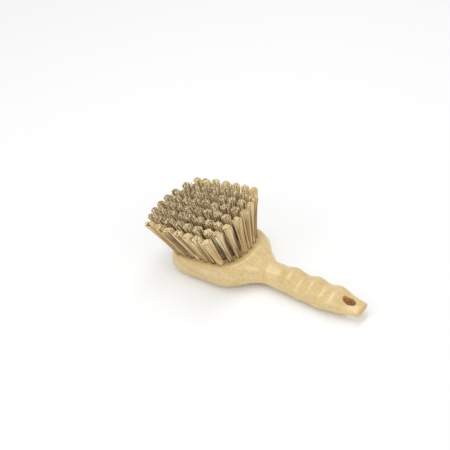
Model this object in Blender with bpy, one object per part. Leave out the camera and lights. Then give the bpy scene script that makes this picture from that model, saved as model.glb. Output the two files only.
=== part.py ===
"""Pot brush: a one-piece wooden block with a contoured handle, and rows of stiff fibre tufts.

Sizes are in metres. The brush lies on its back on the table z = 0, with its bristles up. The head
points to -X and the tail of the handle to +X, and both sides of the plane y = 0 are alike.
"""

import math

import bmesh
import bpy
from mathutils import Matrix, Vector

MM = 0.001

# Block, seen from above. Head, shoulder and grip follow one another from the front rim, and the
# tail takes the rest of the length.
BLOCK_LENGTH = 216.0 * MM
FRONT_DEPTH = 38.0 * MM
HEAD_SIDE = 36.0 * MM
SHOULDER_LENGTH = 37.7 * MM
NECK_TO_BELLY = 48.3 * MM
BELLY_TO_WIDEST = 20.0 * MM
TAIL_END_DEPTH = 6.0 * MM
HEAD_WIDTH = 79.0 * MM
NECK_WIDTH = 28.2 * MM
GRIP_WIDTH = 33.2 * MM
TAIL_WIDTH = 21.6 * MM
UPPER_SHOULDER = 0.82  # share of the way from neck width to head width, a third down the shoulder
LOWER_SHOULDER = 0.30  # the same, two thirds down
FRONT_SQUARENESS = 2.8  # 2 is an ellipse, and more is squarer
TAIL_SQUARENESS = 3.5
FRONT_CENTRE = 12.7 * MM  # from the front rim to the point that its first ribs run to
TAIL_CENTRE = 4.2 * MM

# Block, seen from the side.
FACE_RIM_HEIGHT = 20.0 * MM
FACE_PITCH = math.radians(7.9)
FOOT_LENGTH = 12.0 * MM
BACK_PITCH = math.radians(2.7)
NECK_LIFT = 2.2 * MM
NECK_THICKNESS = 21.0 * MM
GRIP_THICKNESS = 18.8 * MM
TAIL_LIFT = 6.5 * MM
TAIL_THICKNESS = 6.0 * MM
FACE_CORNER = 5.5 * MM
BACK_CORNER = 9.6 * MM
ROUNDING_LEAD = 3.6 * MM  # how far before the shoulder the flat faces start to turn into a round section
SECTION_SQUARENESS = 2.2

# Finger grip: rounded ridges across the bristle side of the handle.
RIDGE_COUNT = 3
RIDGE_PITCH = 24.6 * MM
RIDGE_HEIGHT = 4.2 * MM
RIDGE_RUN_OUT = 16.2 * MM  # from the last ridge to where the grip ends
NECK_TO_FIRST_RIDGE = 23.8 * MM

# Hanging hole: an oval through the tail, with eased rims.
HOLE_LENGTH = 13.3 * MM
HOLE_WIDTH = 9.2 * MM
HOLE_TO_TAIL = 16.0 * MM
HOLE_EASING = 0.5 * MM

# Tuft field, on the pitched face of the head.
ROW_COUNT = 8
FIELD_EDGE = 9.3 * MM  # from the side of the head to the middle of the outer tufts
FIELD_FRONT = 10.8 * MM  # from the front rim to the middle of the first tufts
FIELD_REACH = 9.8 * MM  # how far the last tufts stand past the start of the shoulder
FRONT_BOW = 8.2 * MM
BACK_BOW = 11.8 * MM
TUFT_PITCH = 8.8 * MM

# Tufts: each is one strand in the middle of a ring of strands, and fans out a little.
BACK_TUFT_LENGTH = 42.5 * MM
FRONT_TUFT_LENGTH = 48.0 * MM
SIDE_LENGTH_GAIN = 1.5 * MM
RING_STRANDS = 6
TUFT_ROOT_RADIUS = 2.1 * MM
TUFT_TIP_RADIUS = 3.5 * MM
STRAND_ROOT_WIDTH = 1.3 * MM
STRAND_TIP_WIDTH = 1.8 * MM

# Splay: how far the outer tufts slant outwards over a rise of BACK_TUFT_LENGTH.
SIDE_SPLAY = 16.0 * MM
FRONT_SPLAY = 25.8 * MM
BACK_SPLAY = 1.2 * MM
CORNER_GATHER = 2.5 * MM  # how much less the outer rows slant to the front

# Seats: the strip of the face that each row is rooted in, let into a recess of the block.
SEAT_DEPTH = 2.0 * MM
SEAT_MARGIN = 3.4 * MM  # from the middle of a tuft to the end of its seat
SEAT_GAP = 0.3 * MM
ROOT_DEPTH = 1.2 * MM

# Fineness of the curved surfaces.
RIB_PITCH = 3.0 * MM
FAN_STEPS = 9
CORNER_STEPS = 5
SEAT_STEPS = 4
SEAT_CORNER_STEPS = 3
HOLE_SIDES = 24
SHARP_ANGLE = math.radians(35)
MERGE_DISTANCE = 0.01 * MM
MIRROR_MERGE = 0.02 * MM

# Places worked out from the sizes above.
SHOULDER_X = FRONT_DEPTH + HEAD_SIDE
NECK_X = SHOULDER_X + SHOULDER_LENGTH
BELLY_X = NECK_X + NECK_TO_BELLY
WIDEST_X = BELLY_X + BELLY_TO_WIDEST
TAIL_X = BLOCK_LENGTH
FIRST_RIDGE_X = NECK_X + NECK_TO_FIRST_RIDGE
LAST_RIDGE_X = FIRST_RIDGE_X + (RIDGE_COUNT - 1) * RIDGE_PITCH
HOLE_X = TAIL_X - HOLE_TO_TAIL
FIELD_HALF_WIDTH = HEAD_WIDTH / 2 - FIELD_EDGE
FIELD_BACK = SHOULDER_X / math.cos(FACE_PITCH) + FIELD_REACH
FIELD_LENGTH = FIELD_BACK - FIELD_FRONT
ROW_PITCH = 2 * FIELD_HALF_WIDTH / (ROW_COUNT - 1)
FACE_END_X = (FIELD_BACK + SEAT_MARGIN + 2 * SEAT_GAP) * math.cos(FACE_PITCH)


def smooth_line(stations):
    """A curve through (place, value) stations that turns only where they do."""
    places, values = zip(*stations)
    gaps = [b - a for a, b in zip(places, places[1:])]
    rises = [(b - a) / gap for a, b, gap in zip(values, values[1:], gaps)]
    slopes = [rises[0]]
    for before, after in zip(rises, rises[1:]):
        slopes.append(2 * before * after / (before + after) if before * after > 0 else 0.0)
    slopes.append(rises[-1])

    def value(place):
        place = min(max(place, places[0]), places[-1])
        i = max(k for k in range(len(gaps)) if places[k] <= place)
        return hermite(place - places[i], gaps[i], values[i], values[i + 1], slopes[i], slopes[i + 1])

    return value


def hermite(run, length, start, end, start_slope, end_slope):
    """The cubic from start to end with the given slopes, at run along its length."""
    t = run / length
    return (
        start * (2 * t**3 - 3 * t**2 + 1)
        + end * (3 * t**2 - 2 * t**3)
        + start_slope * length * (t**3 - 2 * t**2 + t)
        + end_slope * length * (t**3 - t**2)
    )


def ease(t):
    """0 below t = 0 and 1 above t = 1, with a smooth rise between."""
    t = min(max(t, 0.0), 1.0)
    return t * t * (3 - 2 * t)


def shoulder_half_width(share):
    """Half the width at a share of the way from the neck's width to the head's."""
    return (NECK_WIDTH + share * (HEAD_WIDTH - NECK_WIDTH)) / 2


half_width = smooth_line(
    (
        (FRONT_DEPTH, HEAD_WIDTH / 2),
        (SHOULDER_X, HEAD_WIDTH / 2),
        (SHOULDER_X + SHOULDER_LENGTH / 3, shoulder_half_width(UPPER_SHOULDER)),
        (NECK_X - SHOULDER_LENGTH / 3, shoulder_half_width(LOWER_SHOULDER)),
        (NECK_X, NECK_WIDTH / 2),
        (WIDEST_X, GRIP_WIDTH / 2),
        (TAIL_X - TAIL_END_DEPTH, TAIL_WIDTH / 2),
    )
)

handle_back = smooth_line(
    (
        (SHOULDER_X, (SHOULDER_X - FOOT_LENGTH) * math.tan(BACK_PITCH)),
        (NECK_X, NECK_LIFT),
        (BELLY_X, 0.0),
        (TAIL_X, TAIL_LIFT),
    )
)

handle_thickness = smooth_line(
    ((NECK_X, NECK_THICKNESS), (BELLY_X, GRIP_THICKNESS), (TAIL_X, TAIL_THICKNESS))
)


def back_height(x):
    """Height of the lowest line of the block: a foot, the flat pitched back, then the handle."""
    if x <= SHOULDER_X:
        return max(x - FOOT_LENGTH, 0.0) * math.tan(BACK_PITCH)
    return handle_back(x)


def ridge_height(x):
    """Height of the finger grip over the plain top of the handle."""
    if not FIRST_RIDGE_X - RIDGE_PITCH / 2 < x < LAST_RIDGE_X + RIDGE_RUN_OUT:
        return 0.0
    if x > LAST_RIDGE_X:
        turn = math.pi * (x - LAST_RIDGE_X) / RIDGE_RUN_OUT
    else:
        turn = 2 * math.pi * (x - FIRST_RIDGE_X) / RIDGE_PITCH
    return RIDGE_HEIGHT * (1 + math.cos(turn)) / 2


def face_height(x):
    """Height of the top of the block: the flat face, the roll down to the neck, then the grip."""
    slope = math.tan(FACE_PITCH)
    if x <= FACE_END_X:
        return FACE_RIM_HEIGHT + slope * x
    if x >= NECK_X:
        return back_height(x) + handle_thickness(x) + ridge_height(x)
    neck_top = NECK_LIFT + NECK_THICKNESS
    end_top = FACE_RIM_HEIGHT + slope * FACE_END_X
    return hermite(x - FACE_END_X, NECK_X - FACE_END_X, end_top, neck_top, slope, -slope)


def corner_run(x, corner, reach):
    """How far in from the rim the block is rounded: a corner on the head, all of the handle."""
    start = SHOULDER_X - ROUNDING_LEAD
    share = ease((x - start) / (NECK_X - start))
    return min(corner + (reach - corner) * share, reach)


def rib(outline, centre):
    """One rib of the block, from the middle of the face round the rim to the middle of the back."""
    inward = centre - outline
    reach = inward.length
    inward.normalize()
    power = 2 / SECTION_SQUARENESS
    points = [Vector((centre.x, 0, face_height(centre.x)))]
    for side in (1, -1):
        corner = FACE_CORNER if side > 0 else BACK_CORNER
        run = corner_run(outline.x, corner, reach)
        arc = []
        for step in range(CORNER_STEPS + 1):
            angle = math.radians(90 * step / CORNER_STEPS)
            spot = outline + inward * run * (1 - max(math.cos(angle), 0.0) ** power)
            low, high = back_height(spot.x), face_height(spot.x)
            lift = side * math.sin(angle) ** power
            arc.append(Vector((spot.x, spot.y, (low + high) / 2 + lift * (high - low) / 2)))
        points += reversed(arc) if side > 0 else arc[1:]
    points.append(Vector((centre.x, 0, back_height(centre.x))))
    return points


def fan(end_x, depth, width, squareness, first_centre):
    """(outline point, centre point) pairs round a rounded end, from its tip to its side."""
    pairs = []
    for step in range(FAN_STEPS + 1):
        angle = math.radians(90 * step / FAN_STEPS)
        along = depth * (1 - max(math.cos(angle), 0.0) ** (2 / squareness))
        across = width / 2 * math.sin(angle) ** (2 / squareness)
        centre = first_centre + (abs(depth) - first_centre) * (1 - math.cos(angle))
        centre_x = end_x + math.copysign(centre, depth)
        pairs.append((Vector((end_x + along, across, 0)), Vector((centre_x, 0, 0))))
    return pairs


def block_ribs():
    """The ribs of one half of the block, from the front rim to the tip of the tail."""
    front = fan(0.0, FRONT_DEPTH, HEAD_WIDTH, FRONT_SQUARENESS, FRONT_CENTRE)
    tail = fan(TAIL_X, -TAIL_END_DEPTH, TAIL_WIDTH, TAIL_SQUARENESS, TAIL_CENTRE)
    side_length = TAIL_X - TAIL_END_DEPTH - FRONT_DEPTH
    count = round(side_length / RIB_PITCH)
    pairs = list(front)
    for step in range(1, count):
        x = FRONT_DEPTH + side_length * step / count
        pairs.append((Vector((x, half_width(x), 0)), Vector((x, 0, 0))))
    pairs += reversed(tail)
    return [rib(outline, centre) for outline, centre in pairs]


def new_object(name, mesh, parent):
    """An object of this mesh, smooth with sharp edges kept, under its parent."""
    mesh.shade_smooth()
    mesh.set_sharp_from_angle(angle=SHARP_ANGLE)
    made = bpy.data.objects.new(name, mesh)
    bpy.context.scene.collection.objects.link(made)
    made.parent = parent
    return made


def mesh_from(name, build, material):
    """A mesh that build fills through bmesh, with its faces turned outwards."""
    shape = bmesh.new()
    build(shape)
    bmesh.ops.recalc_face_normals(shape, faces=shape.faces)
    mesh = bpy.data.meshes.new(name)
    shape.to_mesh(mesh)
    shape.free()
    mesh.materials.append(material)
    return mesh


def add_stack(shape, loops):
    """One closed solid through loops of points that lie over one another."""
    rings = [[shape.verts.new(point) for point in loop] for loop in loops]
    for low, high in zip(rings, rings[1:]):
        for i in range(len(low)):
            j = (i + 1) % len(low)
            shape.faces.new((low[i], low[j], high[j], high[i]))
    shape.faces.new(reversed(rings[0]))
    shape.faces.new(rings[-1])


def make_material(name, colour, roughness):
    """A plain Principled material."""
    material = bpy.data.materials.new(name)
    material.use_nodes = True
    shader = material.node_tree.nodes["Principled BSDF"]
    shader.inputs["Base Color"].default_value = (*colour, 1.0)
    shader.inputs["Roughness"].default_value = roughness
    shader.inputs["Metallic"].default_value = 0.0
    return material


def make_cutter(name, mesh, parent):
    """A helper that shapes another object and isn't itself part of the brush."""
    cutter = new_object(name, mesh, parent)
    cutter.hide_render = True
    cutter.display_type = "WIRE"
    return cutter


def add_boolean(target, other, operation):
    """Joins or cuts one object with another."""
    modifier = target.modifiers.new(other.name, "BOOLEAN")
    modifier.operation = operation
    modifier.solver = "EXACT"
    modifier.object = other


def make_block(parent, face, material):
    """The block and handle: half of it lofted through its ribs, mirrored, recessed and pierced."""

    def build_half(shape):
        ribs = [[shape.verts.new(point) for point in points] for points in block_ribs()]
        for before, after in zip(ribs, ribs[1:]):
            for i in range(len(before) - 1):
                shape.faces.new((before[i], before[i + 1], after[i + 1], after[i]))
        bmesh.ops.remove_doubles(shape, verts=shape.verts, dist=MERGE_DISTANCE)

    block = new_object("handle_block", mesh_from("handle_block", build_half, material), parent)
    mirror = block.modifiers.new("other_side", "MIRROR")
    mirror.use_axis = (False, True, False)
    mirror.merge_threshold = MIRROR_MERGE
    add_boolean(block, make_recess_cutter(face, material), "DIFFERENCE")
    add_boolean(block, make_hole_cutter(parent, material), "DIFFERENCE")


def make_recess_cutter(face, material):
    """Cutter for the recess in the face that all the seats lie in."""
    edge = FIELD_HALF_WIDTH + SEAT_MARGIN + SEAT_GAP
    outline = seat_outline(-edge, edge, ROW_COUNT * SEAT_STEPS, SEAT_GAP)

    def build(shape):
        floor = -SEAT_DEPTH - SEAT_GAP
        add_stack(shape, [[Vector((u, v, z)) for u, v in outline] for z in (floor, SEAT_DEPTH)])

    return make_cutter("recess_cutter", mesh_from("recess_cutter", build, material), face)


def handle_surface(x, y, side):
    """Height of the top (side 1) or the back (side -1) of the handle at a place off its middle."""
    level = 1 - (abs(y) / half_width(x)) ** SECTION_SQUARENESS
    low, high = back_height(x), face_height(x)
    return (low + high) / 2 + side * level ** (1 / SECTION_SQUARENESS) * (high - low) / 2


def make_hole_cutter(parent, material):
    """Cutter for the hanging hole, wider where it leaves the tail so that its rims are eased."""
    levels = ((-1, 2 * HOLE_EASING), (-1, -HOLE_EASING), (1, -HOLE_EASING), (1, 2 * HOLE_EASING))

    def build(shape):
        loops = []
        for side, past in levels:
            loop = []
            for i in range(HOLE_SIDES):
                angle = 2 * math.pi * i / HOLE_SIDES
                x = HOLE_X + HOLE_LENGTH / 2 * math.cos(angle)
                y = HOLE_WIDTH / 2 * math.sin(angle)
                outward = Vector((math.cos(angle), math.sin(angle), 0)) * (HOLE_EASING + past)
                height = handle_surface(x, y, side) + side * past
                loop.append(Vector((x, y, height)) + outward)
            loops.append(loop)
        add_stack(shape, loops)
        bmesh.ops.triangulate(shape, faces=shape.faces)

    return make_cutter("hole_cutter", mesh_from("hole_cutter", build, material), parent)


def field_ends(v):
    """Where the row across at v has the middles of its first and last tufts, along the face."""
    share = min(abs(v) / FIELD_HALF_WIDTH, 1.0)
    return FIELD_FRONT + FRONT_BOW * share**2, FIELD_BACK - BACK_BOW * share**2


def seat_outline(low, high, steps, grow):
    """Outline of a strip of the tuft field between two places across, with the field's own ends."""
    inner_low, inner_high = max(low, -FIELD_HALF_WIDTH), min(high, FIELD_HALF_WIDTH)
    margin = SEAT_MARGIN + grow
    stops = [(inner_low + (inner_high - inner_low) * i / steps, margin) for i in range(steps + 1)]
    for step in range(1, SEAT_CORNER_STEPS + 1):
        angle = math.radians(90 * step / SEAT_CORNER_STEPS)
        out, ahead = margin * math.sin(angle), margin * math.cos(angle)
        if low < -FIELD_HALF_WIDTH:
            stops.insert(0, (-FIELD_HALF_WIDTH - out, ahead))
        if high > FIELD_HALF_WIDTH:
            stops.append((FIELD_HALF_WIDTH + out, ahead))
    fronts = [(field_ends(v)[0] - ahead, v) for v, ahead in stops]
    backs = [(field_ends(v)[1] + ahead, v) for v, ahead in stops]
    return fronts[::-1] + backs


def tip_of(u, v):
    """Where a tuft rooted at (u, v) on the face has the middle of its tip."""
    ahead = (FIELD_BACK - u) / FIELD_LENGTH
    side = v / FIELD_HALF_WIDTH
    along = BACK_SPLAY - FRONT_SPLAY * ahead + CORNER_GATHER * side**2
    across = SIDE_SPLAY * side
    length = BACK_TUFT_LENGTH + (FRONT_TUFT_LENGTH - BACK_TUFT_LENGTH) * ahead + SIDE_LENGTH_GAIN * side**2
    return Vector((u, v, 0)) + Vector((along, across, BACK_TUFT_LENGTH)).normalized() * length


def square_round(centre, angle, width):
    """Four corners of a strand about its middle, one of them pointing along angle."""
    corners = [angle + math.pi / 2 * i for i in range(4)]
    radius = width / math.sqrt(2)
    return [centre + Vector((math.cos(a), math.sin(a), 0)) * radius for a in corners]


def add_tuft(shape, u, v):
    """The strands of one tuft, each a slim tapered prism from its root in the seat to its tip."""
    root, tip = Vector((u, v, 0)), tip_of(u, v)
    mirrored = math.copysign(1, v)
    spots = [(0.0, 0.0)]
    for i in range(RING_STRANDS):
        spots.append((mirrored * 2 * math.pi * (i + 0.5) / RING_STRANDS, 1.0))
    for angle, ring in spots:
        away = Vector((math.cos(angle), math.sin(angle), 0)) * ring
        start = root + away * TUFT_ROOT_RADIUS
        end = tip + away * TUFT_TIP_RADIUS
        below = start - (end - start) * ROOT_DEPTH / end.z
        lower = square_round(below, angle, STRAND_ROOT_WIDTH)
        upper = square_round(end, angle, STRAND_TIP_WIDTH)
        add_stack(shape, [lower, upper])


def make_row(number, face, block_material, fibre_material):
    """One row of tufts, fused to the strip of the face that it is rooted in."""
    v = (number - (ROW_COUNT + 1) / 2) * ROW_PITCH
    low = v - ROW_PITCH / 2 + SEAT_GAP / 2 if number > 1 else v - SEAT_MARGIN
    high = v + ROW_PITCH / 2 - SEAT_GAP / 2 if number < ROW_COUNT else v + SEAT_MARGIN
    outline = seat_outline(low, high, SEAT_STEPS, 0.0)
    first, last = field_ends(v)
    tufts = round((last - first) / TUFT_PITCH) + 1

    def build_seat(shape):
        add_stack(shape, [[Vector((a, b, z)) for a, b in outline] for z in (-SEAT_DEPTH, 0.0)])

    def build_strands(shape):
        for i in range(tufts):
            add_tuft(shape, first + (last - first) * i / (tufts - 1), v)

    name = f"tuft_row_{number}"
    bundle = f"{name}_strands"
    strands = make_cutter(bundle, mesh_from(bundle, build_strands, fibre_material), face)
    row = new_object(name, mesh_from(name, build_seat, block_material), face)
    add_boolean(row, strands, "UNION")
    row.modifiers[0].material_mode = "TRANSFER"


def new_empty(name, parent=None):
    """An empty that carries other objects."""
    made = bpy.data.objects.new(name, None)
    bpy.context.scene.collection.objects.link(made)
    made.parent = parent
    return made


def centre_over_origin(brush):
    """Moves the whole brush so that the middle of its bounding box stands over the origin."""
    bpy.context.view_layer.update()
    graph = bpy.context.evaluated_depsgraph_get()
    corners = []
    for made in bpy.data.objects:
        if made.type == "MESH" and not made.hide_render:
            evaluated = made.evaluated_get(graph)
            corners += [evaluated.matrix_world @ vertex.co for vertex in evaluated.data.vertices]
    for axis in (0, 1):
        values = [corner[axis] for corner in corners]
        brush.location[axis] = -(min(values) + max(values)) / 2
    brush.location.z = -min(corner.z for corner in corners)


def main():
    for old in list(bpy.data.objects):
        bpy.data.objects.remove(old)
    wood = make_material("lacquered beech", (0.72, 0.52, 0.25), 0.35)
    fibre = make_material("tan brush fibre", (0.55, 0.41, 0.24), 0.6)
    brush = new_empty("pot_brush")
    face = new_empty("bristle_face", brush)
    face.matrix_local = Matrix.Translation((0, 0, FACE_RIM_HEIGHT)) @ Matrix.Rotation(-FACE_PITCH, 4, "Y")
    make_block(brush, face, wood)
    for number in range(1, ROW_COUNT + 1):
        make_row(number, face, wood, fibre)
    centre_over_origin(brush)


main()
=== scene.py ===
"""Dresses the pot brush: a lacquered beech block with drilled seats, and splayed plant-fibre tufts."""

import logging
import math
import random
from collections.abc import Callable, Sequence
from dataclasses import dataclass, field
from enum import Enum

import bpy
from mathutils import Matrix, Vector


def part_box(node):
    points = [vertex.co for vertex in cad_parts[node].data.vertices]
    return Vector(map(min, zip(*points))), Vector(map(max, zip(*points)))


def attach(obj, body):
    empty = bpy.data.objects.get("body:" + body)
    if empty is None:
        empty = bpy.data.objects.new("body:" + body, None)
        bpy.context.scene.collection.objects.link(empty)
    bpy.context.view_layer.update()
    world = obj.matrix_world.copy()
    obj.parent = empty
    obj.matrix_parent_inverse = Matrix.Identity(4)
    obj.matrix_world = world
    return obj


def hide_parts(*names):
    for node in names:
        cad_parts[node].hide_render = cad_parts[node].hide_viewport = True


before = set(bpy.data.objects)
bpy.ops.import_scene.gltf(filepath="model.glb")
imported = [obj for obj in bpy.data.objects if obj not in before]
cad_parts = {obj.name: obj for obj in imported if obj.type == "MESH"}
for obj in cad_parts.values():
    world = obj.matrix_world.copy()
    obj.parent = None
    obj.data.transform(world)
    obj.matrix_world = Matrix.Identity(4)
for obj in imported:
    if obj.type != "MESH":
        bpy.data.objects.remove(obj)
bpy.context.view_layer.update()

logging.basicConfig(level=logging.INFO, format="%(message)s")
log = logging.getLogger("pot_brush")

MM = 0.001

# The share of a turn from one strand to the next that spreads them evenly, as seeds in a flower head
GOLDEN_TURN = 0.618

# What a fibre's points store for its finish: its tone (darkened as painted shade for fibres in the open),
# the height along it, and how much painted shade browns it there towards the root
MARKS = ("shade", "rise", "painted_root_shade")


class Slot(Enum):
    """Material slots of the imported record."""

    WOOD = "wood"
    FIBRE = "fibre"


class Side(Enum):
    """The two sides that a section of the block has."""

    FACE = 1
    BACK = -1


def linear(colour: str) -> tuple[float, float, float, float]:
    """Turns an sRGB hex colour into linear values.

    Args:
        colour: Six hex digits, such as "E2C88C".

    Returns:
        Linear red, green and blue, and an alpha of 1.
    """
    parts = [int(colour[i : i + 2], 16) / 255 for i in (0, 2, 4)]
    flat = [c / 12.92 if c <= 0.04045 else ((c + 0.055) / 1.055) ** 2.4 for c in parts]
    return (flat[0], flat[1], flat[2], 1.0)


def add_node(
    tree: bpy.types.NodeTree,
    kind: str,
    settings: dict,
    links: dict,
    stops: Sequence[tuple[float, str]] = (),
) -> bpy.types.Node:
    """Adds a node to a material.

    Args:
        tree: The node tree to add to.
        kind: The node's type, such as "ShaderNodeTexNoise".
        settings: Properties by name, and socket values by socket name or number.
        links: Output sockets of other nodes by the input socket, name or number, that they feed.
        stops: For a colour ramp, its (place, hex colour) pairs in order.

    Returns:
        The new node.
    """
    node = tree.nodes.new(kind)
    for name, value in settings.items():
        if isinstance(name, str) and hasattr(node, name):
            setattr(node, name, value)
        else:
            node.inputs[name].default_value = value
    for name, source in links.items():
        tree.links.new(source, node.inputs[name])
    if stops:
        elements = node.color_ramp.elements
        for place, _ in stops[2:]:
            elements.new(place)
        for element, (place, colour) in zip(elements, stops):
            element.position = place
            element.color = linear(colour)
    return node


def new_material(name: str) -> tuple[bpy.types.Material, bpy.types.NodeTree, bpy.types.Node]:
    """Makes a material with a Principled shader.

    Args:
        name: The real material's name.

    Returns:
        The material, its node tree and the shader node.
    """
    material = bpy.data.materials.new(name)
    material.use_nodes = True
    return material, material.node_tree, material.node_tree.nodes["Principled BSDF"]


def lay_over(
    tree: bpy.types.NodeTree, base: bpy.types.NodeSocket, layers: Sequence[tuple]
) -> bpy.types.NodeSocket:
    """Lays flat colours over a changing one, each over the last.

    Args:
        tree: The node tree to add to.
        base: The colour below them all.
        layers: For each, the socket that drives it, the span in which it comes in, how much of it
            shows at the most, and its hex colour.

    Returns:
        The socket of the colour that results.
    """
    for source, span, most, colour in layers:
        comes_in = {"From Min": span[0], "From Max": span[1], "To Max": most}
        share = add_node(tree, "ShaderNodeMapRange", comes_in, {"Value": source}).outputs[0]
        flat = {"data_type": "RGBA", 7: linear(colour)}
        base = add_node(tree, "ShaderNodeMix", flat, {0: share, 6: base}).outputs[2]
    return base


def deselect_all() -> None:
    """Deselects every object."""
    bpy.ops.object.select_all(action="DESELECT")


def activate(piece: bpy.types.Object) -> None:
    """Makes a piece the only selected object and the active one.

    Args:
        piece: The object.
    """
    deselect_all()
    piece.select_set(True)
    bpy.context.view_layer.objects.active = piece


def apply_modifier(piece: bpy.types.Object, kind: str, settings: dict) -> None:
    """Adds a modifier to a piece and applies it.

    Args:
        piece: The object.
        kind: The modifier's type, such as "MIRROR".
        settings: The modifier's properties by name.
    """
    activate(piece)
    modifier = piece.modifiers.new(kind.lower(), kind)
    for name, value in settings.items():
        setattr(modifier, name, value)
    bpy.ops.object.modifier_apply(modifier=modifier.name)


def join(pieces: Sequence[bpy.types.Object]) -> bpy.types.Object:
    """Joins pieces into one.

    Args:
        pieces: The objects.

    Returns:
        The first of them, which holds all their meshes.
    """
    deselect_all()
    for piece in pieces:
        piece.select_set(True)
    bpy.context.view_layer.objects.active = pieces[0]
    bpy.ops.object.join()
    return pieces[0]


def clamp(value: float) -> float:
    """The value, or the nearer of 0 and 1 where it lies outside them."""
    return min(max(value, 0.0), 1.0)


def ease(t: float) -> float:
    """0 below t = 0 and 1 above t = 1, with a smooth rise between."""
    t = clamp(t)
    return t * t * (3 - 2 * t)


def hermite(run: float, length: float, ends: tuple[float, float], slopes: tuple[float, float]) -> float:
    """A cubic between two values.

    Args:
        run: How far along the cubic the value is wanted.
        length: The length of the cubic.
        ends: Its first and last value.
        slopes: Its slope at both ends.

    Returns:
        The value there.
    """
    t = run / length
    return (
        ends[0] * (2 * t**3 - 3 * t**2 + 1)
        + ends[1] * (3 * t**2 - 2 * t**3)
        + slopes[0] * length * (t**3 - 2 * t**2 + t)
        + slopes[1] * length * (t**3 - t**2)
    )


def smooth_line(stations: Sequence[tuple[float, float]]) -> Callable[[float], float]:
    """A curve through stations that turns only where they do.

    Args:
        stations: (place, value) pairs in order.

    Returns:
        A function from a place to its value.
    """
    places, values = zip(*stations)
    gaps = [b - a for a, b in zip(places, places[1:])]
    rises = [(b - a) / gap for a, b, gap in zip(values, values[1:], gaps)]
    slopes = [rises[0]]
    for before, after in zip(rises, rises[1:]):
        slopes.append(2 * before * after / (before + after) if before * after > 0 else 0.0)
    slopes.append(rises[-1])

    def value(place: float) -> float:
        """The curve's value.

        Args:
            place: Where it is wanted, held between the first and the last station.

        Returns:
            The value there.
        """
        place = min(max(place, places[0]), places[-1])
        i = max(k for k in range(len(gaps)) if places[k] <= place)
        return hermite(place - places[i], gaps[i], (values[i], values[i + 1]), (slopes[i], slopes[i + 1]))

    return value


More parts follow.
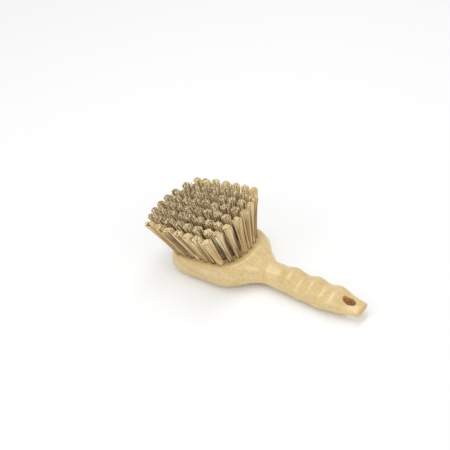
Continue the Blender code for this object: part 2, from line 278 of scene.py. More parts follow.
@dataclass(frozen=True)
class BlockShape:
    """The outer form of the block, with x measured from the front rim of the head.

    Head, shoulder and grip follow one another from the front rim, and the tail takes the rest of
    the length, as on the frame.
    """

    block_length: float = 216.0 * MM
    front_depth: float = 38.0 * MM
    head_side: float = 36.0 * MM
    shoulder_length: float = 37.7 * MM
    neck_to_belly: float = 48.3 * MM
    belly_to_widest: float = 20.0 * MM
    tail_end_depth: float = 6.0 * MM
    head_width: float = 79.0 * MM
    neck_width: float = 28.2 * MM
    grip_width: float = 33.2 * MM
    tail_width: float = 21.6 * MM
    upper_shoulder: float = 0.82
    lower_shoulder: float = 0.30
    front_squareness: float = 2.8
    tail_squareness: float = 3.5
    front_centre: float = 12.7 * MM
    tail_centre: float = 4.2 * MM
    face_rim_height: float = 20.0 * MM
    face_pitch: float = math.radians(7.9)
    foot_length: float = 12.0 * MM
    back_pitch: float = math.radians(2.7)
    neck_lift: float = 2.2 * MM
    neck_thickness: float = 21.0 * MM
    grip_thickness: float = 18.8 * MM
    tail_lift: float = 6.5 * MM
    tail_thickness: float = 6.0 * MM
    face_corner: float = 5.5 * MM
    back_corner: float = 9.6 * MM
    rounding_lead: float = 3.6 * MM
    section_squareness: float = 2.2
    ridge_count: int = 3
    ridge_pitch: float = 24.6 * MM
    ridge_height: float = 4.2 * MM
    ridge_run_out: float = 16.2 * MM
    neck_to_first_ridge: float = 23.8 * MM
    face_end: float = 88.5 * MM

    @property
    def shoulder_x(self) -> float:
        """Where the head's straight sides end."""
        return self.front_depth + self.head_side

    @property
    def neck_x(self) -> float:
        """Where the neck is narrowest."""
        return self.shoulder_x + self.shoulder_length

    @property
    def belly_x(self) -> float:
        """Where the handle rests on the table."""
        return self.neck_x + self.neck_to_belly

    @property
    def tail_x(self) -> float:
        """The end of the handle."""
        return self.block_length

    @property
    def face_end_x(self) -> float:
        """Where the flat face starts to roll down to the neck."""
        return self.face_end * math.cos(self.face_pitch)

    def shoulder_half_width(self, share: float) -> float:
        """Half the width at a share of the way from the neck's width to the head's."""
        return (self.neck_width + share * (self.head_width - self.neck_width)) / 2

    def half_width(self, x: float) -> float:
        """Half the width of the block, past the rounded front.

        Args:
            x: Place along the block.

        Returns:
            The half width there.
        """
        third = self.shoulder_length / 3
        return smooth_line(
            (
                (self.front_depth, self.head_width / 2),
                (self.shoulder_x, self.head_width / 2),
                (self.shoulder_x + third, self.shoulder_half_width(self.upper_shoulder)),
                (self.neck_x - third, self.shoulder_half_width(self.lower_shoulder)),
                (self.neck_x, self.neck_width / 2),
                (self.belly_x + self.belly_to_widest, self.grip_width / 2),
                (self.tail_x - self.tail_end_depth, self.tail_width / 2),
            )
        )(x)

    def back_height(self, x: float) -> float:
        """Height of the lowest line of the block.

        Args:
            x: Place along the block.

        Returns:
            The height there.
        """
        slope = math.tan(self.back_pitch)
        if x <= self.shoulder_x:
            return max(x - self.foot_length, 0.0) * slope
        return smooth_line(
            (
                (self.shoulder_x, (self.shoulder_x - self.foot_length) * slope),
                (self.neck_x, self.neck_lift),
                (self.belly_x, 0.0),
                (self.tail_x, self.tail_lift),
            )
        )(x)

    def ridge(self, x: float) -> float:
        """Height of the finger grip over the plain top of the handle.

        Args:
            x: Place along the block.

        Returns:
            The height there, which is 0 before the first ridge and after the last.
        """
        first = self.neck_x + self.neck_to_first_ridge
        last = first + (self.ridge_count - 1) * self.ridge_pitch
        if not first - self.ridge_pitch / 2 < x < last + self.ridge_run_out:
            return 0.0
        if x > last:
            turn = math.pi * (x - last) / self.ridge_run_out
        else:
            turn = 2 * math.pi * (x - first) / self.ridge_pitch
        return self.ridge_height * (1 + math.cos(turn)) / 2

    def face_height(self, x: float) -> float:
        """Height of the top line of the block.

        Args:
            x: Place along the block.

        Returns:
            The height there.
        """
        slope = math.tan(self.face_pitch)
        if x <= self.face_end_x:
            return self.face_rim_height + slope * x
        if x >= self.neck_x:
            stations = (
                (self.neck_x, self.neck_thickness),
                (self.belly_x, self.grip_thickness),
                (self.tail_x, self.tail_thickness),
            )
            return self.back_height(x) + smooth_line(stations)(x) + self.ridge(x)
        ends = (self.face_rim_height + slope * self.face_end_x, self.neck_lift + self.neck_thickness)
        return hermite(x - self.face_end_x, self.neck_x - self.face_end_x, ends, (slope, -slope))

    def surface(self, x: float, y: float, side: Side) -> float:
        """Height of the handle's top or back.

        Args:
            x: Place along the handle.
            y: Distance from its middle line.
            side: Which of the two surfaces.

        Returns:
            The height of that surface.
        """
        level = max(1 - (abs(y) / self.half_width(x)) ** self.section_squareness, 0.0)
        low, high = self.back_height(x), self.face_height(x)
        return (low + high) / 2 + side.value * level ** (1 / self.section_squareness) * (high - low) / 2

    def rib(self, outline: Vector, centre: Vector, corner_steps: int, flat_steps: int) -> list[Vector]:
        """One rib of the block.

        Args:
            outline: The rib's point on the outline.
            centre: The rib's point on the middle line.
            corner_steps: Points on each rounded corner.
            flat_steps: Points between a corner and the middle line.

        Returns:
            Points from the middle of the face round the rim to the middle of the back.
        """
        inward = centre - outline
        reach = inward.length
        inward.normalize()
        power = 2 / self.section_squareness
        start = self.shoulder_x - self.rounding_lead
        share = ease((outline.x - start) / (self.neck_x - start))
        halves = {}
        for side, corner in ((Side.FACE, self.face_corner), (Side.BACK, self.back_corner)):
            run = min(corner + (reach - corner) * share, reach)
            half = []
            for step in range(corner_steps + 1):
                angle = math.pi / 2 * step / corner_steps
                spot = outline + inward * run * (1 - max(math.cos(angle), 0.0) ** power)
                low, high = self.back_height(spot.x), self.face_height(spot.x)
                lift = side.value * math.sin(angle) ** power * (high - low) / 2
                half.append(Vector((spot.x, spot.y, (low + high) / 2 + lift)))
            inner = outline + inward * run
            for step in range(1, flat_steps + 1):
                spot = inner.lerp(centre, step / flat_steps)
                height = self.face_height(spot.x) if side is Side.FACE else self.back_height(spot.x)
                half.append(Vector((spot.x, spot.y, height)))
            halves[side] = half
        return halves[Side.FACE][::-1] + halves[Side.BACK][1:]

    def fan(self, steps: int, tail: bool) -> list[tuple[Vector, Vector]]:
        """(outline point, centre point) pairs round a rounded end, from its tip to its side.

        Args:
            steps: How many ribs the fan has.
            tail: True for the end of the handle, False for the front of the head.

        Returns:
            The pairs in order.
        """
        depth = self.tail_end_depth if tail else self.front_depth
        width = self.tail_width if tail else self.head_width
        power = 2 / (self.tail_squareness if tail else self.front_squareness)
        inset = self.tail_centre if tail else self.front_centre
        pairs = []
        for step in range(steps + 1):
            angle = math.pi / 2 * step / steps
            along = depth * (1 - max(math.cos(angle), 0.0) ** power)
            centre = inset + (depth - inset) * (1 - math.cos(angle))
            if tail:
                along, centre = self.tail_x - along, self.tail_x - centre
            outline = Vector((along, width / 2 * math.sin(angle) ** power, 0))
            pairs.append((outline, Vector((centre, 0, 0))))
        return pairs


@dataclass(frozen=True)
class TuftField:
    """Where the tufts stand on the pitched face, and how they splay.

    A place on the face has u along it from the front rim, v across it, and w out of it. The tufts
    splay to the front and to both sides, more so the farther out they stand. Those at the corners
    are sheared along the head, as bristles are that have lain in a box.
    """

    rows: int = 8
    half_width: float = 30.2 * MM
    front: float = 10.8 * MM
    back: float = 84.5 * MM
    front_bow: float = 8.2 * MM
    back_bow: float = 11.8 * MM
    pitch: float = 8.8 * MM
    rise: float = 43.3 * MM
    back_length: float = 41.9 * MM
    front_length: float = 47.8 * MM
    outer_gain: float = 1.4 * MM
    side_gain: float = 0.3 * MM
    side_splay: float = 19.7 * MM
    side_ease: float = 0.266
    side_set: float = -0.3 * MM
    front_splay: float = 27.2 * MM
    splay_bend: float = 0.245
    back_splay: float = -0.9 * MM
    corner_gather: float = 2.7 * MM
    corner_shear: float = 4.5 * MM

    def row_place(self, row: int) -> float:
        """Where a row, counted from 1, lies across the face."""
        return (row - (self.rows + 1) / 2) * 2 * self.half_width / (self.rows - 1)

    def roots(self, row: int) -> list[tuple[float, float]]:
        """The places of the tufts of a row.

        Args:
            row: The row, counted from 1.

        Returns:
            A (u, v) pair for each tuft, from the front to the back.
        """
        v = self.row_place(row)
        share = (v / self.half_width) ** 2
        first, last = self.front + self.front_bow * share, self.back - self.back_bow * share
        count = round((last - first) / self.pitch) + 1
        return [(first + (last - first) * i / (count - 1), v) for i in range(count)]

    def slant(self, u: float, v: float) -> Vector:
        """The way from a tuft's root to its tip.

        Args:
            u: The root's place along the face.
            v: Its place across the face.

        Returns:
            The way and its length, in face coordinates.
        """
        ahead = (self.back - u) / (self.back - self.front)
        side = v / self.half_width
        along = self.back_splay - self.front_splay * (ahead + self.splay_bend * (ahead**2 - ahead))
        along += self.corner_gather * side**2 - self.corner_shear * side**3
        across = self.side_splay * side * (1 - self.side_ease * ahead**2) - self.side_set
        length = self.back_length + (self.front_length - self.back_length) * ahead
        length += self.outer_gain * side**2 + self.side_gain * side
        return Vector((along, across, self.rise)).normalized() * length

    def open_ways(self, row: int, number: int) -> list[Vector]:
        """The ways along and across the face in which a tuft has no other beside it.

        Args:
            row: The tuft's row, counted from 1.
            number: Its number in the row, counted from 0.

        Returns:
            Between none and two unit vectors, in face coordinates.
        """
        last = len(self.roots(row)) - 1
        ways = {(0, -1): row == 1, (0, 1): row == self.rows, (-1, 0): number == 0, (1, 0): number == last}
        return [Vector((*way, 0)) for way, is_open in ways.items() if is_open]


@dataclass(frozen=True)
class LacqueredBeech:
    """Steamed beech, sawn along the grain, sanded and dipped in satin lacquer.

    Beech is pale honey with a soft mottled figure and short dark flecks that run with the grain,
    which are drawn wider than the real 0.1 mm so that they show. The lacquer film adds a soft clear
    reflection. End grain drinks the lacquer and looks darker.
    """

    honey: str = "E1C587"
    pale: str = "EAD29E"
    tan: str = "D7B77A"
    fleck: str = "BE9560"
    end_grain: str = "D2AE72"
    figure_spot: tuple[float, float, float] = (36.0 * MM, 6.0 * MM, 6.0 * MM)
    mottle_spot: tuple[float, float, float] = (4.8 * MM, 2.4 * MM, 2.4 * MM)
    fleck_spot: tuple[float, float, float] = (3.0 * MM, 0.5 * MM, 0.5 * MM)
    pore_spot: tuple[float, float, float] = (2.9167 * MM, 0.35 * MM, 0.35 * MM)
    film_spot: tuple[float, float, float] = (3.846 * MM, 3.846 * MM, 3.846 * MM)
    front_grain_depth: float = 5.0 * MM
    tail_grain_depth: float = 3.0 * MM
    tail_grain_full: float = 1.2 * MM

    def build(self, shape: BlockShape, origin_x: float) -> bpy.types.Material:
        """Makes the material.

        Args:
            shape: The block's form, for the places of its ends.
            origin_x: Where the block's front rim lies in the frame.

        Returns:
            The material.
        """
        material, tree, shader = new_material("lacquered_beech")
        place = add_node(tree, "ShaderNodeTexCoord", {}, {}).outputs["Object"]
        patterns = []
        for spot, detail, twist in (
            (self.figure_spot, 3.0, 0.5),
            (self.mottle_spot, 2.0, 0.0),
            (self.fleck_spot, 1.0, 0.0),
            (self.pore_spot, 2.0, 0.0),
            (self.film_spot, 1.0, 0.0),
        ):
            scale = [1 / size for size in spot]
            spread = add_node(tree, "ShaderNodeMapping", {"Scale": scale}, {"Vector": place}).outputs[0]
            noise = {"Scale": 1.0, "Detail": detail, "Distortion": twist}
            patterns.append(add_node(tree, "ShaderNodeTexNoise", noise, {"Vector": spread}).outputs[0])
        figure, mottle, flecks, pores, film = patterns
        along = add_node(tree, "ShaderNodeSeparateXYZ", {}, {0: place}).outputs[0]
        tail_x = origin_x + shape.tail_x
        layers = (
            (mottle, (0.5, 0.72), 0.6, self.pale),
            (mottle, (0.5, 0.28), 0.6, self.tan),
            (flecks, (0.6, 0.75), 0.4, self.fleck),
            (along, (tail_x - self.tail_grain_depth, tail_x - self.tail_grain_full), 0.75, self.end_grain),
            (along, (origin_x + self.front_grain_depth, origin_x), 0.6, self.end_grain),
        )
        stops = ((0.25, self.tan), (0.5, self.honey), (0.75, self.pale))
        base = add_node(tree, "ShaderNodeValToRGB", {}, {0: figure}, stops).outputs[0]
        tree.links.new(lay_over(tree, base, layers), shader.inputs["Base Color"])
        self.coat(tree, pores, film, shader)
        return material

    @staticmethod
    def coat(
        tree: bpy.types.NodeTree,
        pores: bpy.types.NodeSocket,
        film: bpy.types.NodeSocket,
        shader: bpy.types.Node,
    ) -> None:
        """Gives the wood its open grain under a film of satin lacquer.

        Args:
            tree: The material's node tree.
            pores: The socket with the pattern of the grain.
            film: The socket with the pattern of the film, which is a little uneven.
            shader: The material's shader.
        """
        dents = {"Strength": 0.12, "Distance": 0.06 * MM}
        grain = add_node(tree, "ShaderNodeBump", dents, {"Height": pores}).outputs[0]
        ripples = {"Strength": 0.1, "Distance": 0.25 * MM}
        waves = add_node(tree, "ShaderNodeBump", ripples, {"Height": film, "Normal": grain})
        satin = {"From Min": 0.3, "From Max": 0.7, "To Min": 0.36, "To Max": 0.48}
        roughness = add_node(tree, "ShaderNodeMapRange", satin, {"Value": film})
        tree.links.new(waves.outputs[0], shader.inputs["Normal"])
        tree.links.new(roughness.outputs[0], shader.inputs["Roughness"])
        shader.inputs["IOR"].default_value = 1.5
        shader.inputs["Coat Weight"].default_value = 0.9
        shader.inputs["Coat Roughness"].default_value = 0.29


@dataclass(frozen=True)
class DrilledBeech:
    """The rough, unsealed walls of holes drilled in beech, a mottled brown darker than the lacquered face.
    """

    cut: str = "DAB078"
    dark_wall: str = "B08350"
    mottle_spot: tuple[float, float, float] = (1.4 * MM, 1.4 * MM, 2.8 * MM)

    def build(self) -> bpy.types.Material:
        """Makes the material, a matt brown that is mottled along the wall.

        Returns:
            The material.
        """
        material, tree, shader = new_material("drilled_beech")
        place = add_node(tree, "ShaderNodeTexCoord", {}, {}).outputs["Object"]
        scale = [1 / size for size in self.mottle_spot]
        spread = add_node(tree, "ShaderNodeMapping", {"Scale": scale}, {"Vector": place}).outputs[0]
        noise = {"Scale": 1.0, "Detail": 2.0}
        mottle = add_node(tree, "ShaderNodeTexNoise", noise, {"Vector": spread}).outputs[0]
        stops = ((0.35, self.dark_wall), (0.65, self.cut))
        base = add_node(tree, "ShaderNodeValToRGB", {}, {0: mottle}, stops)
        tree.links.new(base.outputs[0], shader.inputs["Base Color"])
        shader.inputs["Roughness"].default_value = 0.8
        return material


@dataclass(frozen=True)
class PlantFibre:
    """Stiff leaf fibre, combed straight, cut to length and undyed.

    The fibres are straw to tan, each a little different, and pale towards the tips, partly from their
    paler cut ends and partly as painted light on the tufts' heads. Inside the brush they are browner
    towards the root, which is painted shade. They are matt, with a faint waxy gloss along their length.
    """

    tip_pale_and_painted_light: str = "FFF3D0"
    straw: str = "FBECC6"
    sand: str = "F4E0B2"
    tan: str = "DDBE86"
    brown: str = "AE864A"
    root: str = "74521C"
    streak_spot: tuple[float, float, float] = (0.5 * MM, 0.5 * MM, 9.0 * MM)

    def build(self) -> bpy.types.Material:
        """Makes the material, which reads the marks that the fibres' points store.

        Returns:
            The material.
        """
        material, tree, shader = new_material("undyed_plant_fibre")
        place = add_node(tree, "ShaderNodeTexCoord", {}, {}).outputs["Object"]
        shade, rise, painted_root_shade = (
            add_node(tree, "ShaderNodeAttribute", {"attribute_name": mark}, {}).outputs["Fac"]
            for mark in MARKS
        )
        scale = [1 / size for size in self.streak_spot]
        spread = add_node(tree, "ShaderNodeMapping", {"Scale": scale}, {"Vector": place}).outputs[0]
        noise = {"Scale": 1.0, "Detail": 2.0}
        streaks = add_node(tree, "ShaderNodeTexNoise", noise, {"Vector": spread}).outputs[0]
        layers = (
            (streaks, (0.5, 0.75), 0.3, self.tan),
            # Painted shade: deeper in the brush the fibres turn to the root's dark brown, standing in for
            # the shade between the tufts
            (painted_root_shade, (0.25, 0.46), 0.82, self.root),
            # Partly painted light: the top fifth of each fibre turns pale, more than a real cut end would,
            # to lighten the tufts' heads
            (rise, (0.8, 0.95), 1.0, self.tip_pale_and_painted_light),
        )
        stops = ((0.0, self.brown), (0.3, self.tan), (0.6, self.sand), (1.0, self.straw))
        base = add_node(tree, "ShaderNodeValToRGB", {}, {0: shade}, stops).outputs[0]
        ribs = {"Strength": 0.2, "Distance": 0.1 * MM}
        bump = add_node(tree, "ShaderNodeBump", ribs, {"Height": streaks})
        tree.links.new(lay_over(tree, base, layers), shader.inputs["Base Color"])
        tree.links.new(bump.outputs[0], shader.inputs["Normal"])
        shader.inputs["Roughness"].default_value = 0.6
        shader.inputs["IOR"].default_value = 1.45
        shader.inputs["Specular IOR Level"].default_value = 0.3
        return material


@dataclass(frozen=True)
class HangingHole:
    """The oval hole through the tail, with eased rims, and how far its cutter stands out of the tail."""

    x: float
    length: float = 13.3 * MM
    width: float = 9.2 * MM
    easing: float = 0.5 * MM
    overrun: float = 1.5 * MM
    sides: int = 72


@dataclass
class WoodenBlock:
    """The head and handle, made as one smooth body that is drilled for the tufts."""

    shape: BlockShape
    tufts: TuftField
    origin_x: float
    face_plane: Matrix
    hole_to_tail: float = 16.0 * MM
    drill_radius: float = 2.95 * MM
    drill_depth: float = 3.5 * MM
    drill_sides: int = 20
    fan_steps: int = 22
    rib_pitch: float = 1.7 * MM
    corner_steps: int = 9
    flat_steps: int = 4
    mirror_weld: float = 0.02 * MM
    weld: float = 0.01 * MM
    smooth_angle: float = math.radians(35)
    hole: HangingHole = field(init=False)

    def __post_init__(self) -> None:
        """Places the hanging hole."""
        self.hole = HangingHole(self.origin_x + self.shape.tail_x - self.hole_to_tail)

    def ribs(self) -> list[list[Vector]]:
        """The ribs of one half of the block, in the frame.

        Returns:
            The points of each rib, from the front rim to the tail.
        """
        shape = self.shape
        pairs = shape.fan(self.fan_steps, tail=False)
        side_length = shape.tail_x - shape.tail_end_depth - shape.front_depth
        count = round(side_length / self.rib_pitch)
        for step in range(1, count):
            x = shape.front_depth + side_length * step / count
            pairs.append((Vector((x, shape.half_width(x), 0)), Vector((x, 0, 0))))
        pairs += reversed(shape.fan(self.fan_steps // 2, tail=True))
        shift = Vector((self.origin_x, 0, 0))
        return [
            [point + shift for point in shape.rib(outline, centre, self.corner_steps, self.flat_steps)]
            for outline, centre in pairs
        ]

    def build(self) -> bpy.types.Object:
        """Makes the body, lacquered outside and bare inside its holes.

        Returns:
            The smooth block, drilled and pierced.
        """
        ribs = self.ribs()
        across = len(ribs[0])
        deselect_all()
        bpy.ops.mesh.primitive_grid_add(x_subdivisions=across - 1, y_subdivisions=len(ribs) - 1, size=1.0)
        block = bpy.context.object
        block.name = "lacquered_block"
        places = [point for points in ribs for point in points]
        for vertex, place in zip(block.data.vertices, places, strict=True):
            vertex.co = place
        mirrored = {"use_axis": (False, True, False), "merge_threshold": self.mirror_weld}
        apply_modifier(block, "MIRROR", mirrored)
        bpy.ops.object.mode_set(mode="EDIT")
        bpy.ops.mesh.select_all(action="SELECT")
        bpy.ops.mesh.remove_doubles(threshold=self.weld)
        bpy.ops.mesh.normals_make_consistent(inside=False)
        bpy.ops.object.mode_set(mode="OBJECT")
        block.data.materials.append(LacqueredBeech().build(self.shape, self.origin_x))
        bare = DrilledBeech().build()
        self.cut(block, self.drills(), bare)
        self.cut(block, self.hole_cutter(), bare)
        activate(block)
        bpy.ops.object.shade_smooth_by_angle(angle=self.smooth_angle)
        return block

    @staticmethod
    def cut(block: bpy.types.Object, cutter: bpy.types.Object, walls: bpy.types.Material) -> None:
        """Cuts the block with a cutter, which is then removed.

        Args:
            block: The block.
            cutter: The shape to take away.
            walls: The finish that the cut leaves on the walls.
        """
        cutter.data.materials.append(walls)
        settings = {
            "operation": "DIFFERENCE",
            "object": cutter,
            "solver": "EXACT",
            "material_mode": "TRANSFER",
        }
        apply_modifier(block, "BOOLEAN", settings)
        bpy.data.objects.remove(cutter)

    def drills(self) -> bpy.types.Object:
        """Makes a drill bit at the root of every tuft, slanted with it.

        Returns:
            The bits, as one cutter.
        """
        bits = []
        for row in range(1, self.tufts.rows + 1):
            for u, v in self.tufts.roots(row):
                turn = Vector((0, 0, 1)).rotation_difference(self.tufts.slant(u, v)).to_matrix().to_4x4()
                deselect_all()
                bpy.ops.mesh.primitive_cylinder_add(
                    vertices=self.drill_sides, radius=self.drill_radius, depth=2 * self.drill_depth
                )
                bit = bpy.context.object
                bit.data.transform(self.face_plane @ Matrix.Translation((u, v, 0)) @ turn)
                bits.append(bit)
        return join(bits)

    def hole_cutter(self) -> bpy.types.Object:
        """Makes the cutter for the hanging hole, wider where it leaves the tail to ease the rims.

        Returns:
            The cutter.
        """
        hole = self.hole
        levels = (
            (Side.BACK, hole.overrun),
            (Side.BACK, -hole.easing),
            (Side.FACE, -hole.easing),
            (Side.FACE, hole.overrun),
        )
        rings = []
        for side, past in levels:
            deselect_all()
            bpy.ops.mesh.primitive_circle_add(vertices=hole.sides, radius=1.0)
            ring = bpy.context.object
            for vertex in ring.data.vertices:
                spot = vertex.co.copy()
                x = hole.x + hole.length / 2 * spot.x
                y = hole.width / 2 * spot.y
                height = self.shape.surface(x - self.origin_x, y, side) + side.value * past
                vertex.co = Vector((x, y, height)) + spot * (hole.easing + past)
            rings.append(ring)
        cutter = join(rings)
        bpy.ops.object.mode_set(mode="EDIT")
        bpy.ops.mesh.select_all(action="SELECT")
        bpy.ops.mesh.bridge_edge_loops()
        bpy.ops.mesh.select_all(action="DESELECT")
        bpy.ops.mesh.select_non_manifold()
        bpy.ops.mesh.edge_face_add()
        bpy.ops.mesh.select_all(action="SELECT")
        bpy.ops.mesh.quads_convert_to_tris()
        bpy.ops.mesh.normals_make_consistent(inside=False)
        bpy.ops.object.mode_set(mode="OBJECT")
        return cutter

    def dress(self, block: bpy.types.Object) -> None:
        """Puts the block in the frame in place of its solid."""
        put_in_frame(block, ["handle_block"])


@dataclass(frozen=True)
class Tuft:
    """One tuft: its root, its slant from root to tip, its turn and shade, and the ways it is open in."""

    root: Vector
    slant: Vector
    turn: float
    shade: float
    ways: Sequence[Vector]
    open_slope: float = 1.5
    open_middle: float = 1.2

    @property
    def axis(self) -> Vector:
        """The way that the tuft points."""
        return self.slant.normalized()

    def around(self, angle: float) -> Vector:
        """The way out from the tuft's middle at an angle."""
        side = self.axis.cross(Vector((0, 1, 0))).normalized()
        return side * math.cos(angle) + self.axis.cross(side) * math.sin(angle)

    def openness(self, outward: Vector) -> float:
        """How much light reaches the root of a fibre.

        Args:
            outward: The side of the tuft that the fibre stands on.

        Returns:
            0 for a fibre that other tufts or its own tuft hide, and 1 for one in the open.
        """
        views = [clamp(self.open_slope * outward.dot(way) + self.open_middle) for way in self.ways]
        return max(views, default=0.0)


@dataclass(frozen=True)
class Strands:
    """One kind of strand in a tuft, which stand alone or cling together in clumps.

    Their tips reach out to a share of the tuft's radius. A strand has its radius at the tip and a
    share of it, root_share, at the root, and its tip lies a recess below the trimmed head.
    """

    clumps: int
    in_clump: int
    reach: float
    radius: float
    root_share: float
    recess: float = 0.0


@dataclass
class TuftRow:
    """One row of tufts, each a bundle of stiff fibres that is trimmed to a dome.

    Round the rim of a tuft, fibres cling together in small clumps. Inside it, thick strands stand
    for the many that are packed there, with thinner ones among them. The bundle has a waist, and
    widens from root_radius to tip_radius. A few fibres stray, and each is cut a little unevenly.
    Fibres in the open are drawn darker, as painted shade against the fuller light on them, and lack most of
    the painted shade that browns the roots deeper in the brush.
    """

    number: int
    tufts: TuftField
    face_plane: Matrix
    rim: Strands = Strands(11, 4, reach=1.0, radius=0.42 * MM, root_share=0.9)
    packing: Strands = Strands(14, 1, reach=0.78, radius=0.98 * MM, root_share=0.55, recess=0.35 * MM)
    inner: Strands = Strands(26, 1, reach=0.8, radius=0.64 * MM, root_share=0.9)
    rim_inset: float = 0.88
    turn_scatter: float = 0.12
    dome: float = 3.2 * MM
    root_radius: float = 1.95 * MM
    tip_radius: float = 4.0 * MM
    clump_root: float = 0.45 * MM
    clump_tip: float = 0.62 * MM
    root_depth: float = 2.5 * MM
    points: int = 6
    waist: float = 0.45 * MM
    waviness: float = 0.3 * MM
    clump_scatter: float = 0.28 * MM
    fibre_scatter: float = 0.18 * MM
    clump_cut: float = 0.3 * MM
    fibre_cut: float = 0.075 * MM
    level_cut: float = 0.9
    lean_scatter: float = 0.55 * MM
    stray_share: float = 0.03
    stray_lean: float = 2.2 * MM
    shade: float = 0.85
    tuft_contrast: float = 0.06
    clump_contrast: float = 0.16
    fibre_contrast: float = 0.1
    # Painted shade: fibres in the open are drawn darker, against the fuller light that falls on them
    open_painted_shade: float = 0.45
    # The share of the painted root shade that fibres in the open lack
    open_painted_shade_fade: float = 0.9
    smooth_angle: float = math.radians(50)
    first_seed: int = 100
    tones_and_painted_shade: list[float] = field(default_factory=list)
    painted_root_shade_shares: list[float] = field(default_factory=list)

    def build(self) -> bpy.types.Object:
        """Makes the row as curves with one spline for each fibre, and turns them into a mesh.

        Returns:
            The row.
        """
        rng = random.Random(self.first_seed + self.number)
        curve = bpy.data.curves.new(f"fibres_row_{self.number}", "CURVE")
        curve.dimensions = "3D"
        curve.bevel_depth = self.rim.radius
        curve.bevel_resolution = 1
        curve.use_fill_caps = True
        for i, root in enumerate(self.tufts.roots(self.number)):
            self.add_tuft(curve, root, self.tufts.open_ways(self.number, i), rng)
        row = bpy.data.objects.new(f"fibres_row_{self.number}", curve)
        bpy.context.scene.collection.objects.link(row)
        activate(row)
        bpy.ops.object.convert(target="MESH")
        row = bpy.context.object
        row.data.transform(self.face_plane)
        self.mark_fibres(row)
        bpy.ops.object.shade_smooth_by_angle(angle=self.smooth_angle)
        return row

    def add_tuft(
        self,
        curve: bpy.types.Curve,
        root: tuple[float, float],
        ways: Sequence[Vector],
        rng: random.Random,
    ) -> None:
        """Adds the fibres of one tuft: clumps round its rim, then its packing and its inner fibres.

        Args:
            curve: The curve object's data.
            root: The tuft's place along and across the face.
            ways: The ways in which no other tuft stands beside it.
            rng: The row's own random numbers.
        """
        slant = self.tufts.slant(*root)
        slant += Vector((rng.gauss(0, 1), rng.gauss(0, 1), 0.0)) * self.lean_scatter
        turn = rng.uniform(0, math.tau)
        tuft = Tuft(Vector((*root, 0)), slant, turn, rng.gauss(self.shade, self.tuft_contrast), ways)
        rings = [rng.uniform(self.rim_inset, self.rim.reach) for _ in range(self.rim.clumps)]
        for i, ring in enumerate(rings):
            self.add_clump(curve, tuft, self.rim, ((i + 0.5) / self.rim.clumps, ring), rng)
        for kind in (self.packing, self.inner):
            for i in range(kind.clumps):
                ring = kind.reach * math.sqrt((i + 0.5) / kind.clumps)
                self.add_clump(curve, tuft, kind, (i * GOLDEN_TURN, ring), rng)

    def add_clump(
        self,
        curve: bpy.types.Curve,
        tuft: Tuft,
        kind: Strands,
        place: tuple[float, float],
        rng: random.Random,
    ) -> None:
        """Adds the strands of one clump, or a strand that stands alone.

        Args:
            curve: The curve object's data.
            tuft: The tuft that they belong to.
            kind: Their kind of strand.
            place: Their place round the tuft, as a share of a turn, and from its middle, at 0, to
                its rim, at 1.
            rng: The row's own random numbers.
        """
        part, ring = place
        outward = tuft.around(tuft.turn + math.tau * part + rng.gauss(0, self.turn_scatter))
        away = outward * ring
        clump_shade = rng.gauss(tuft.shade, self.clump_contrast)
        openness = tuft.openness(outward)
        scatter = tuft.around(rng.uniform(0, math.tau)) * rng.gauss(0, self.clump_scatter)
        bow = tuft.around(rng.uniform(0, math.tau)) * rng.gauss(0, self.waviness) - away * self.waist
        cut = rng.uniform(-1, 1) * self.clump_cut + self.dome * (0.5 - ring**2) - kind.recess
        for k in range(kind.in_clump):
            nearby = Vector()
            if kind.in_clump > 1:
                nearby = tuft.around(tuft.turn + math.tau * (k / kind.in_clump + part))
            drift = scatter + tuft.around(rng.uniform(0, math.tau)) * rng.gauss(0, self.fibre_scatter)
            if rng.random() < self.stray_share:
                drift += away * self.stray_lean
            start = tuft.root + away * self.root_radius + nearby * self.clump_root
            spread = away * self.tip_radius + nearby * self.clump_tip
            level = -self.level_cut * spread.z / tuft.axis.z
            end = tuft.root + tuft.slant + spread + tuft.axis * (cut + level + rng.gauss(0, self.fibre_cut))
            self.add_fibre(curve, (start, end), drift, bow, kind)
            # Painted shade: a fibre in the open is drawn darker, as more light falls on it
            shade = rng.gauss(clump_shade, self.fibre_contrast) - self.open_painted_shade * openness
            self.tones_and_painted_shade.append(clamp(shade))
            # How much painted root shade this fibre gets; fibres in the open get little
            self.painted_root_shade_shares.append(1.0 - self.open_painted_shade_fade * openness)

    def add_fibre(
        self,
        curve: bpy.types.Curve,
        ends: tuple[Vector, Vector],
        drift: Vector,
        bow: Vector,
        kind: Strands,
    ) -> None:
        """Adds one strand, which starts below the face, inside its drilled hole.

        Args:
            curve: The curve object's data.
            ends: Where it leaves the face, and where it would end if it were straight.
            drift: How far its end lies from there.
            bow: How far its middle bows out.
            kind: Its kind of strand.
        """
        spline = curve.splines.new("POLY")
        spline.points.add(self.points - 1)
        start, end = ends
        way = end - start
        below = self.root_depth / way.length
        for k, point in enumerate(spline.points):
            t = k / (self.points - 1)
            place = start + way * (t * (1 + below) - below)
            place += drift * t**2 + bow * math.sin(math.pi * t)
            point.co = (*place, 1.0)
            point.radius = (kind.root_share + (1 - kind.root_share) * t) * kind.radius / self.rim.radius

    def mark_fibres(self, row: bpy.types.Object) -> None:
        """Stores the marks that the finish reads on the points of each fibre.

        Args:
            row: The row, as a mesh.
        """
        mesh = row.data
        per_fibre = len(mesh.vertices) // len(self.tones_and_painted_shade)
        per_ring = per_fibre // self.points
        shade, rise, painted_root_shade = (mesh.attributes.new(name, "FLOAT", "POINT") for name in MARKS)
        for i in range(len(mesh.vertices)):
            fibre = min(i // per_fibre, len(self.tones_and_painted_shade) - 1)
            height = (i % per_fibre) // per_ring / (self.points - 1)
            shade.data[i].value = self.tones_and_painted_shade[fibre]
            rise.data[i].value = height
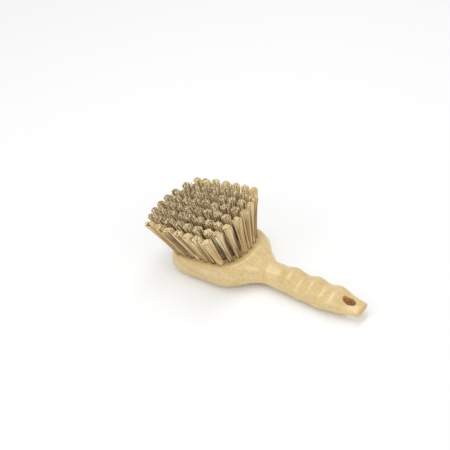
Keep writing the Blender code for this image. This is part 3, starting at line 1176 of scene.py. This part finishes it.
            # Painted shade, strongest at the root and fading to nothing at the tip
            painted_root_shade.data[i].value = self.painted_root_shade_shares[fibre] * (1 - height)
        log.info("row %d: %d fibres, %d points each", self.number, len(self.tones_and_painted_shade), per_fibre)

    def dress(self, row: bpy.types.Object, finish: bpy.types.Material) -> None:
        """Gives the row its finish and puts it in the frame."""
        row.data.materials.append(finish)
        put_in_frame(row, [f"tuft_row_{self.number}"])


@dataclass(frozen=True)
class Lamp:
    """A rectangular lamp that faces the brush, with its height as near to the upright way as it can be."""

    name: str
    place: tuple[float, float, float]
    upright: tuple[float, float, float]
    size: tuple[float, float]
    watts: float

    def build(self) -> None:
        """Puts the lamp in the studio."""
        deselect_all()
        bpy.ops.object.light_add(type="AREA", location=self.place)
        lamp = bpy.context.object
        lamp.name = self.name
        lamp.data.shape = "RECTANGLE"
        lamp.data.size, lamp.data.size_y = self.size
        lamp.data.energy = self.watts
        back = Vector(self.place).normalized()
        across = Vector(self.upright).cross(back).normalized()
        lamp.rotation_euler = Matrix((across, back.cross(across), back)).transposed().to_euler()
        log.info("%s: %.1f W", self.name, self.watts)


@dataclass
class Studio:
    """The table top, lamps and camera."""

    table_size: float = 6.0
    table_colour: str = "FCFDFD"
    table_glow: float = 0.42
    contact_reach: float = 14.0 * MM
    contact_samples: int = 16
    room_strength: float = 0.6
    lamps: tuple[Lamp, ...] = (
        Lamp("overhead_strip", (-0.2, 0.19, 1.2), upright=(0, 1, 0), size=(0.32, 1.3), watts=5.8),
        Lamp("left_softbox", (-0.42, -0.9, 0.75), upright=(0, 0, 1), size=(0.45, 0.45), watts=2.0),
        Lamp("right_softbox", (1.05, -0.22, 0.7), upright=(0, 0, 1), size=(0.45, 0.45), watts=2.0),
    )
    camera_azimuth: float = math.radians(37.544)
    camera_elevation: float = math.radians(37.614)
    camera_roll: float = math.radians(-4.976)
    camera_distance: float = 1070.93 * MM
    camera_lens: float = 80.517
    camera_sensor: float = 36.0
    camera_reach: float = 20.0
    aim: tuple[float, float, float] = (-65.733 * MM, 34.229 * MM, 20.0 * MM)

    def build(self) -> None:
        """Makes the table top, the light and the camera."""
        self.table()
        self.light()
        self.camera()

    def table(self) -> None:
        """A wide white laminate top that keeps the brush's shadow.

        To the camera it glows a little, a painted light that lightens the shadow as a white light tent
        would.
        The glow fades where the brush nearly touches the top, so the shadow stays darker there.
        """
        deselect_all()
        bpy.ops.mesh.primitive_plane_add(size=self.table_size)
        top = bpy.context.object
        top.name = "table_top"
        material, tree, shader = new_material("white_laminate")
        shader.inputs["Base Color"].default_value = linear(self.table_colour)
        shader.inputs["Roughness"].default_value = 0.7
        shader.inputs["Specular IOR Level"].default_value = 0.2
        glow = add_node(tree, "ShaderNodeEmission", {"Strength": 1.0}, {})
        ray = add_node(tree, "ShaderNodeLightPath", {}, {}).outputs["Is Camera Ray"]
        contact = {"Distance": self.contact_reach, "samples": self.contact_samples}
        near = add_node(tree, "ShaderNodeAmbientOcclusion", contact, {}).outputs["AO"]
        times = {"operation": "MULTIPLY"}
        share = add_node(tree, "ShaderNodeMath", {**times, 0: self.table_glow}, {1: near})
        share = add_node(tree, "ShaderNodeMath", times, {0: share.outputs[0], 1: ray})
        seen = add_node(
            tree,
            "ShaderNodeMixShader",
            {},
            {0: share.outputs[0], 1: shader.outputs[0], 2: glow.outputs[0]},
        )
        tree.links.new(seen.outputs[0], tree.nodes["Material Output"].inputs["Surface"])
        top.data.materials.append(material)

    def light(self) -> None:
        """A long soft lamp overhead, a weaker one on either side of the camera, and a white room."""
        world = bpy.data.worlds.new("white_room")
        world.use_nodes = True
        bpy.context.scene.world = world
        background = world.node_tree.nodes["Background"]
        background.inputs["Color"].default_value = (1.0, 1.0, 1.0, 1.0)
        background.inputs["Strength"].default_value = self.room_strength
        for lamp in self.lamps:
            lamp.build()

    def camera(self) -> None:
        """The camera at the photograph's viewing angle."""
        rise = math.cos(self.camera_elevation)
        back = Vector(
            (
                math.sin(self.camera_azimuth) * rise,
                -math.cos(self.camera_azimuth) * rise,
                math.sin(self.camera_elevation),
            )
        )
        place = Vector(self.aim) + back * self.camera_distance
        deselect_all()
        bpy.ops.object.camera_add(location=place)
        camera = bpy.context.object
        camera.data.lens = self.camera_lens
        camera.data.sensor_width = self.camera_sensor
        camera.data.clip_end = self.camera_reach
        turned = (-back).to_track_quat("-Z", "Y").to_matrix() @ Matrix.Rotation(self.camera_roll, 3, "Z")
        camera.rotation_euler = turned.to_euler()
        bpy.context.scene.camera = camera


def put_in_frame(piece: bpy.types.Object, nodes: Sequence[str]) -> None:
    """Gives a finished piece its body, in place of nodes of the frame.

    Args:
        piece: The finished piece.
        nodes: The nodes that it stands for.
    """
    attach(piece, "root")
    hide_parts(*nodes)
    log.info("%s: %d faces", piece.name, len(piece.data.polygons))


def main() -> None:
    """Builds the brush on its frame, then the studio round it."""
    shape = BlockShape()
    tufts = TuftField()
    origin_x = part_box("handle_block")[0].x
    pitch = Matrix.Rotation(-shape.face_pitch, 4, "Y")
    face_plane = Matrix.Translation((origin_x, 0, shape.face_rim_height)) @ pitch
    block = WoodenBlock(shape, tufts, origin_x, face_plane)
    block.dress(block.build())
    fibre = PlantFibre().build()
    for number in range(1, tufts.rows + 1):
        row = TuftRow(number, tufts, face_plane)
        row.dress(row.build(), fibre)
    Studio().build()
    bpy.context.scene.view_settings.view_transform = "Standard"


if __name__ == "__main__":
    main()
